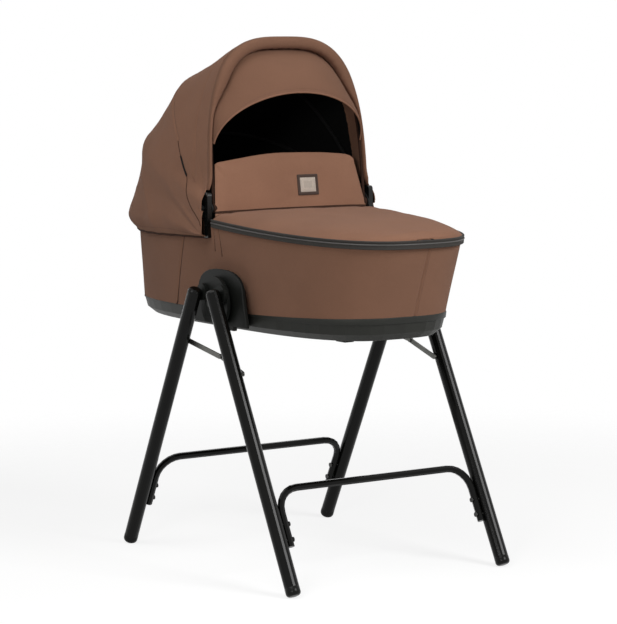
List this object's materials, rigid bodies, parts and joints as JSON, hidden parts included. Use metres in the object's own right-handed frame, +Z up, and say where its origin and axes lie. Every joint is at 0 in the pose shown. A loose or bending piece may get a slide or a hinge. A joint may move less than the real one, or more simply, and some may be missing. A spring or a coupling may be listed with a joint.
{
  "type": "carrycot stand",
  "caption": "Folding black tube stand of two hinged leg frames with a brown hooded carrycot that lifts off its side connectors.",
  "frame": {"origin": "middle of the whole in plan, on the floor under the four feet", "axes": "+Z up; +X from the hooded head end to the foot end; +Y to the left side seen from the head end"},
  "size_m": [0.9258, 0.5066, 1.0202],
  "materials": {
    "satin_black_tube": "satin black powder coat",
    "rubber_cap": "matt black",
    "dark_steel": "dark grey, semi matt",
    "matt_black_plastic": "fine matt grain",
    "gloss_black_plastic": "glossy black",
    "brown_cloth": "plain fine weave, matt brown",
    "dark_tape": "matt woven tape",
    "pale_quilt": "soft matt cotton"
  },
  "bodies": {
    "head_frame": {"leg_head_left": "satin_black_tube", "leg_head_right": "satin_black_tube", "crossbar_head": "satin_black_tube", "foot_cap_head_left": "rubber_cap", "foot_cap_head_right": "rubber_cap", "bolt_head_left_1": "dark_steel", "bolt_head_left_2": "dark_steel", "bolt_head_right_1": "dark_steel", "bolt_head_right_2": "dark_steel", "hub_disc_left": "matt_black_plastic", "hub_disc_right": "matt_black_plastic", "hub_pin_left": "dark_steel", "hub_pin_right": "dark_steel", "connector_left": "matt_black_plastic", "connector_right": "matt_black_plastic", "stay_rivet_left": "dark_steel", "stay_rivet_right": "dark_steel"},
    "foot_frame": {"leg_foot_left": "satin_black_tube", "leg_foot_right": "satin_black_tube", "crossbar_foot": "satin_black_tube", "foot_cap_foot_left": "rubber_cap", "foot_cap_foot_right": "rubber_cap", "bolt_foot_left_1": "dark_steel", "bolt_foot_left_2": "dark_steel", "bolt_foot_right_1": "dark_steel", "bolt_foot_right_2": "dark_steel", "hub_arm_left": "matt_black_plastic", "hub_arm_right": "matt_black_plastic", "stay_stud_left": "dark_steel", "stay_stud_right": "dark_steel"},
    "stay_head_links": {"stay_head_link_left": "dark_steel", "stay_head_link_right": "dark_steel", "stay_knee_rivet_left": "dark_steel", "stay_knee_rivet_right": "dark_steel"},
    "stay_foot_links": {"stay_foot_link_left": "dark_steel", "stay_foot_link_right": "dark_steel"},
    "carrycot": {"cot_tray": "matt_black_plastic", "cot_wall": "brown_cloth", "rim_band": "dark_tape", "foot_cover": "brown_cloth", "mattress": "pale_quilt", "side_bracket_left": "matt_black_plastic", "side_bracket_right": "matt_black_plastic", "hood_hinge_strip_left": "gloss_black_plastic", "hood_hinge_strip_right": "gloss_black_plastic", "hood_rear_bow": "gloss_black_plastic", "hood_rear_panel": "brown_cloth"},
    "release_button_left": {"release_button_left": "matt_black_plastic"},
    "release_button_right": {"release_button_right": "matt_black_plastic"},
    "windscreen": {"windscreen_flap": "brown_cloth", "flap_patch": "dark_tape"},
    "hood_mid": {"hood_mid_bow": "gloss_black_plastic", "hood_mid_panel": "brown_cloth"},
    "hood_front": {"hood_front_bow": "gloss_black_plastic", "hood_front_panel": "brown_cloth", "hood_visor": "brown_cloth"}
  },
  "joints": [
    {"name": "foot_frame_fold", "type": "hinge", "parent": "head_frame", "child": "foot_frame", "pos_m": [0.0696, 0, 0.515], "axis": [0, 1, 0], "range_deg": [0, 55.2]},
    {"name": "stay_head_turn", "type": "hinge", "parent": "head_frame", "child": "stay_head_links", "pos_m": [-0.0172, 0, 0.434], "axis": [0, 1, 0], "range_deg": [0, 5.94]},
    {"name": "stay_knee_turn", "type": "hinge", "parent": "stay_head_links", "child": "stay_foot_links", "pos_m": [0.0996, 0, 0.4145], "axis": [0, 1, 0], "range_deg": [0, 120.05]},
    {"name": "carrycot_lift", "type": "slide", "parent": "head_frame", "child": "carrycot", "axis": [0, 0, 1], "range_m": [0, 0.3]},
    {"name": "release_press_left", "type": "slide", "parent": "carrycot", "child": "release_button_left", "axis": [0, 0, 1], "range_m": [0, 0.004], "stiffness_N_per_m": 400, "springref_m": -0.002},
    {"name": "release_press_right", "type": "slide", "parent": "carrycot", "child": "release_button_right", "axis": [0, 0, 1], "range_m": [0, 0.004], "stiffness_N_per_m": 400, "springref_m": -0.002},
    {"name": "windscreen_fold", "type": "hinge", "parent": "carrycot", "child": "windscreen", "pos_m": [0.014, 0, 0.6825], "axis": [0, 1, 0], "range_deg": [0, 85]},
    {"name": "hood_fold", "type": "hinge", "parent": "carrycot", "child": "hood_mid", "pos_m": [0.0026, 0, 0.69], "axis": [0, -1, 0], "range_deg": [0, 20]},
    {"name": "hood_front_fold", "type": "hinge", "parent": "hood_mid", "child": "hood_front", "pos_m": [0.0026, 0, 0.69], "axis": [0, -1, 0], "range_deg": [0, 30]}
  ],
  "couplings": [
    {"joint": "stay_head_turn", "follows": "foot_frame_fold", "ratio": 0.1075},
    {"joint": "stay_knee_turn", "follows": "foot_frame_fold", "ratio": 2.1745},
    {"joint": "hood_front_fold", "follows": "hood_fold", "ratio": 1.5}
  ]
}
